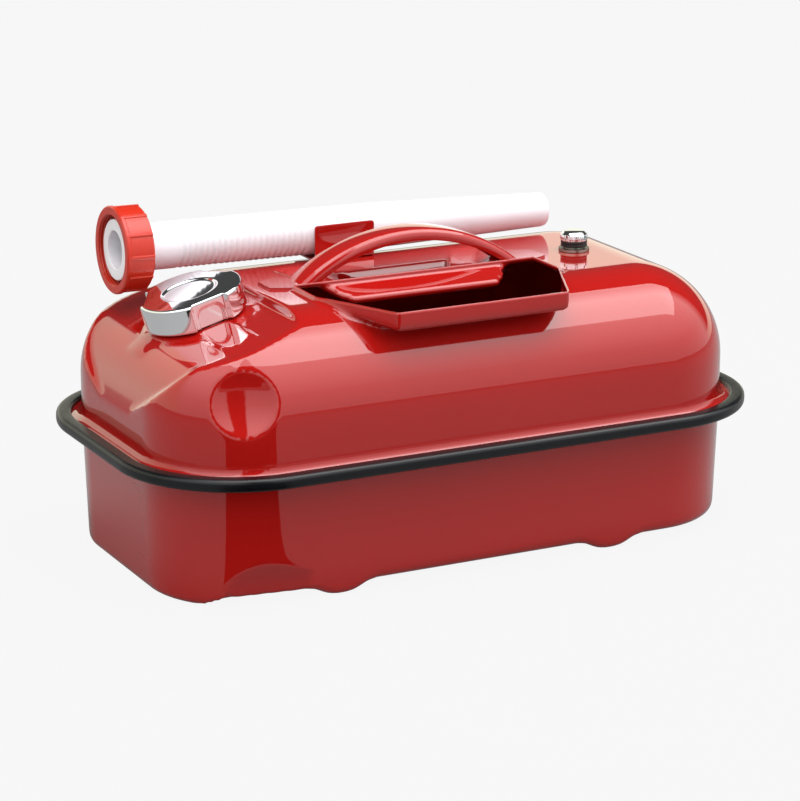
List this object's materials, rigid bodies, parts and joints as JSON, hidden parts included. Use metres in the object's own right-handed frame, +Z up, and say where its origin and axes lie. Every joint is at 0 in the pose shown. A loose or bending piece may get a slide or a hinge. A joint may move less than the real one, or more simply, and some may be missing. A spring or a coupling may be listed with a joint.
{
  "type": "gas can",
  "caption": "Red pressed-steel fuel can lying on ribbed feet, with a carrying handle, lobed screw cap, vent screw, rubber-edged seam and a clipped-on pouring spout with a union nut.",
  "frame": {"origin": "on the floor under the middle of the can's rubber-edged seam", "axes": "+Z up, +X along the can from the filler end to the vent end, -Y towards the side without the spout"},
  "size_m": [0.41, 0.236, 0.2056],
  "materials": {
    "red_enamel": "gloss stoved enamel on pressed steel",
    "black_rubber": "extruded black rubber edging",
    "chrome_plate": "bright chrome plate on pressed steel",
    "zinc_plate": "turned steel, zinc plated",
    "seal_rubber": "moulded fuel-proof rubber",
    "natural_polyethylene": "blow-moulded natural polyethylene",
    "orange_polyethylene": "injection-moulded orange-red polyethylene"
  },
  "bodies": {
    "can": {"lower_shell": "red_enamel", "upper_shell": "red_enamel", "seam_trim": "black_rubber", "handle": "red_enamel", "filler_neck": "zinc_plate", "vent_bush": "zinc_plate", "spout_clip": "red_enamel"},
    "cap_seal": {"cap_gasket": "seal_rubber", "cap_disc": "zinc_plate"},
    "cap": {"cap_shell": "chrome_plate", "cap_sleeve": "zinc_plate"},
    "vent_ring": {"vent_seal": "seal_rubber"},
    "vent_knob": {"vent_screw": "chrome_plate"},
    "spout": {"spout_tube": "natural_polyethylene", "spout_gasket": "natural_polyethylene"},
    "union_nut": {"spout_nut": "orange_polyethylene"}
  },
  "joints": [
    {"name": "cap_rise", "type": "slide", "parent": "can", "child": "cap_seal", "axis": [-0.2588, 0, 0.9659], "range_m": [0, 0.01]},
    {"name": "cap_turn", "type": "hinge", "parent": "cap_seal", "child": "cap", "pos_m": [-0.136, 0, 0.14679], "axis": [-0.2588, 0, 0.9659], "range_deg": [0, 900]},
    {"name": "vent_rise", "type": "slide", "parent": "can", "child": "vent_ring", "axis": [0, 0, 1], "range_m": [0, 0.0025]},
    {"name": "vent_turn", "type": "hinge", "parent": "vent_ring", "child": "vent_knob", "pos_m": [0.1185, 0, 0.1639], "axis": [0, 0, 1], "range_deg": [0, 720]},
    {"name": "spout_lift", "type": "slide", "parent": "can", "child": "spout", "axis": [0, 0, 1], "range_m": [0, 0.06]},
    {"name": "nut_spin", "type": "hinge", "parent": "spout", "child": "union_nut", "pos_m": [-0.161, 0.058, 0.179], "axis": [0.9999, 0, -0.0148], "continuous": true}
  ],
  "couplings": [
    {"joint": "cap_rise", "follows": "cap_turn", "m_per_rad": 0.00063662},
    {"joint": "vent_rise", "follows": "vent_turn", "m_per_rad": 0.00019894}
  ]
}
